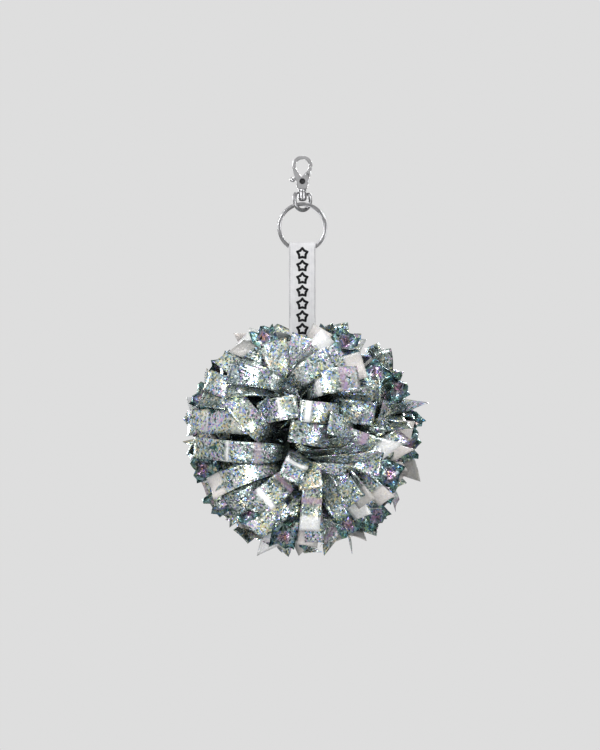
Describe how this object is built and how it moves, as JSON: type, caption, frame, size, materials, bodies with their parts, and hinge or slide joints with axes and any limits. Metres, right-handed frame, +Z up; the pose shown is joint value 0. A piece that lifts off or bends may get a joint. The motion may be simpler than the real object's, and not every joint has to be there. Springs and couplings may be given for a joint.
{
  "type": "cheer pom pom keychain",
  "caption": "Small foil cheer pom pom on a ribbon strap, with a split ring and a swivel trigger clasp to hang it from a bag or belt loop.",
  "frame": {"origin": "middle of the hook's inner bend, where the clasp hangs on a peg or strap", "axes": "+Z up along the hanging line, +Y to the back, +X to the right as the printed side of the strap is seen"},
  "size_m": [0.136, 0.141, 0.2391],
  "materials": {
    "nickel": "polished nickel plate over zinc alloy",
    "dark_nickel": "dark rivet head, shadowed and slightly worn",
    "spring_steel": "bright drawn wire",
    "ribbon": "woven polyester ribbon, matte",
    "thread": "fine sewing thread",
    "ink": "screen printed black ink",
    "tie": "natural nylon",
    "foil": "silver holographic metallised film with fine coloured flakes"
  },
  "bodies": {
    "clasp": {"hook_body": "nickel", "gate_rivet": "dark_nickel", "gate_spring": "spring_steel", "swivel_stud": "nickel"},
    "gate": {"gate_lever": "nickel"},
    "swivel": {"swivel_eye": "nickel"},
    "ring": {"split_ring": "nickel"},
    "strap": {"strap_loop": "ribbon", "strap_stitching": "thread", "strap_print": "ink"},
    "pom": {"strap_tail": "ribbon", "cable_tie": "tie", "bundle_front": "foil", "bundle_back": "foil", "front_strips_1": "foil", "front_strips_2": "foil", "front_strips_3": "foil", "front_strips_4": "foil", "front_strips_5": "foil", "front_strips_6": "foil", "front_strips_7": "foil", "front_strips_8": "foil", "back_strips_1": "foil", "back_strips_2": "foil", "back_strips_3": "foil", "back_strips_4": "foil", "back_strips_5": "foil", "back_strips_6": "foil", "back_strips_7": "foil", "back_strips_8": "foil"}
  },
  "joints": [
    {"name": "gate_pivot", "type": "hinge", "parent": "clasp", "child": "gate", "pos_m": [0, 0, -0.0132], "axis": [0, -1, 0], "range_deg": [0, 30], "stiffness_Nm_per_rad": 0.003, "springref_deg": -28.65, "deforming": ["gate_spring"]},
    {"name": "clasp_swivel", "type": "hinge", "parent": "clasp", "child": "swivel", "pos_m": [0, 0, -0.0217], "axis": [0, 0, 1], "continuous": true},
    {"name": "ring_swing", "type": "hinge", "parent": "swivel", "child": "ring", "pos_m": [0, 0, -0.0285], "axis": [1, 0, 0], "range_deg": [-30, 30]},
    {"name": "strap_slide", "type": "hinge", "parent": "ring", "child": "strap", "pos_m": [0, 0, -0.0408], "axis": [0, 1, 0], "range_deg": [-110, 110]},
    {"name": "pom_swing", "type": "hinge", "parent": "strap", "child": "pom", "pos_m": [0, 0, -0.0927], "axis": [1, 0, 0], "range_deg": [-50, 50]}
  ]
}
